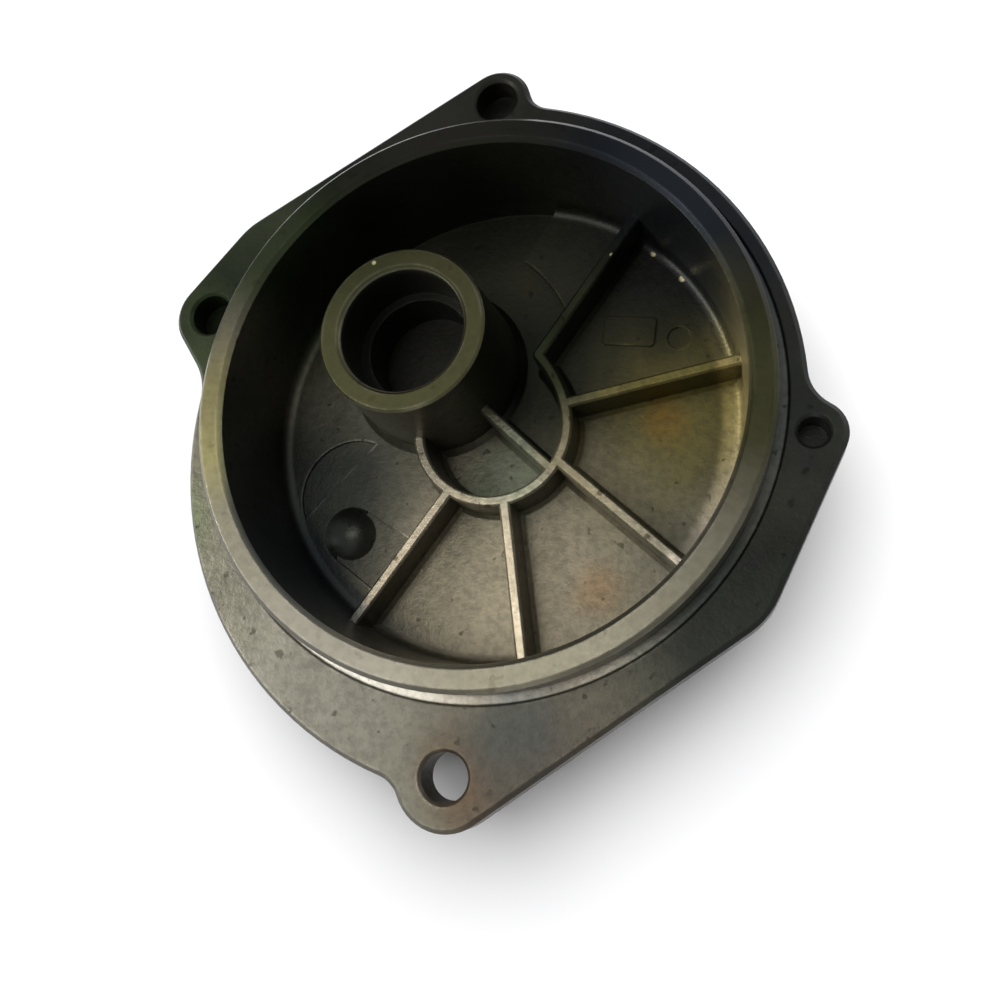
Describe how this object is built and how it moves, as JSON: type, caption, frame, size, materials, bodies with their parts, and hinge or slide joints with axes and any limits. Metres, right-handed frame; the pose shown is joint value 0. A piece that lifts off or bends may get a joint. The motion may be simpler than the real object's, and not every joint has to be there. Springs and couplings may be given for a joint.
{
  "type": "gear pump body",
  "caption": "Shallow cast cup housing with a spigoted mouth, an eared flange, an off-centre bearing boss, and a ring wall with ribs on its floor.",
  "frame": {"origin": "centre of the flat back face, on the axis of the spigot", "axes": "+Z along the spigot axis, out of the open mouth; +Y towards the top ear; +X towards the right ear"},
  "size_m": [0.1389, 0.1551, 0.032],
  "materials": {
    "cast_aluminium": "raw cast, darkened, with smoother machined rim and boss faces"
  },
  "bodies": {
    "root": {"pump_body": "cast_aluminium"}
  },
  "joints": []
}
